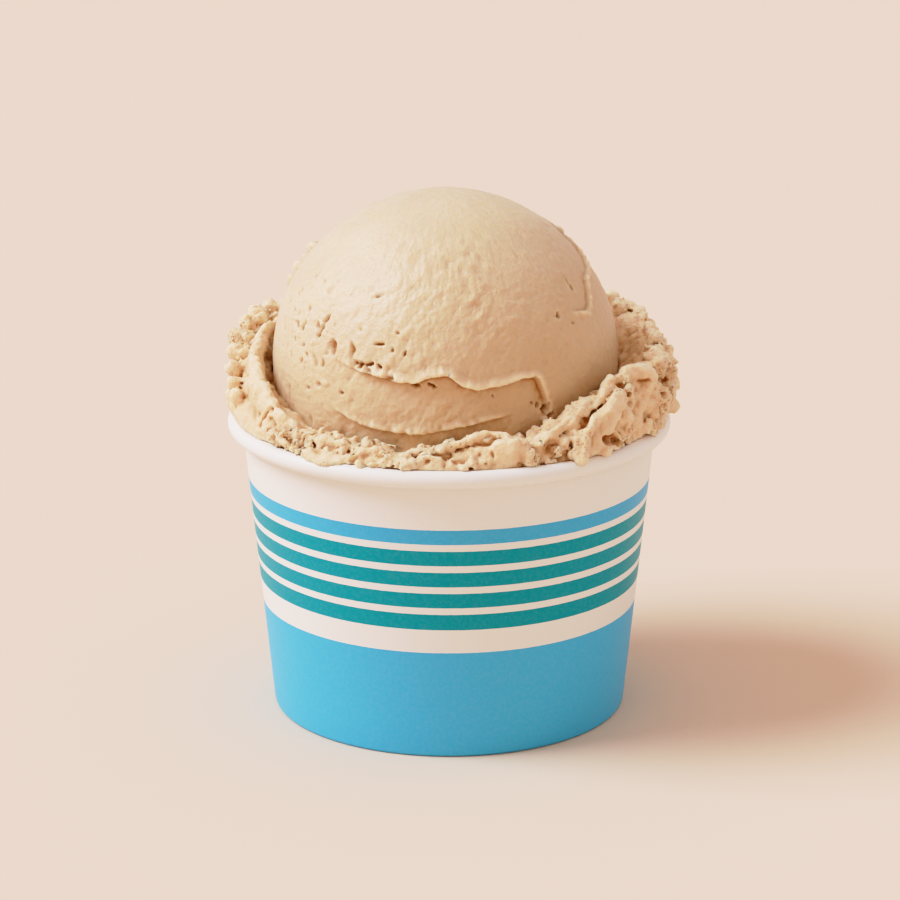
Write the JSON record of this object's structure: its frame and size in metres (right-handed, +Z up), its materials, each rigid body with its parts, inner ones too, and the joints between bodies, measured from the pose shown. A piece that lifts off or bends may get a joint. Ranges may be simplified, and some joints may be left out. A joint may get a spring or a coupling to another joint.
{
  "type": "gelato cup",
  "caption": "Small paper cup with a rolled rim and striped wall, filled with gelato and topped by a large scoop in a torn collar.",
  "frame": {"origin": "centre of the circle that the cup stands on, at the level of the table", "axes": "+Z up through the cup and the scoop; -Y is the side seen in the picture, +X its right"},
  "size_m": [0.0759, 0.0746, 0.0887],
  "materials": {
    "printed_paper": "coated off-white cup board, printed with sky-blue and teal bands round the wall, soft sheen",
    "base_paper": "coated off-white cup board, unprinted, soft sheen",
    "gelato": "caramel-beige gelato, smooth and faintly glossy on the scoop, matt and crumbly on the torn collar, translucent at thin edges"
  },
  "bodies": {
    "root": {"cup_wall": "printed_paper", "cup_base": "base_paper", "gelato": "gelato"}
  },
  "joints": []
}
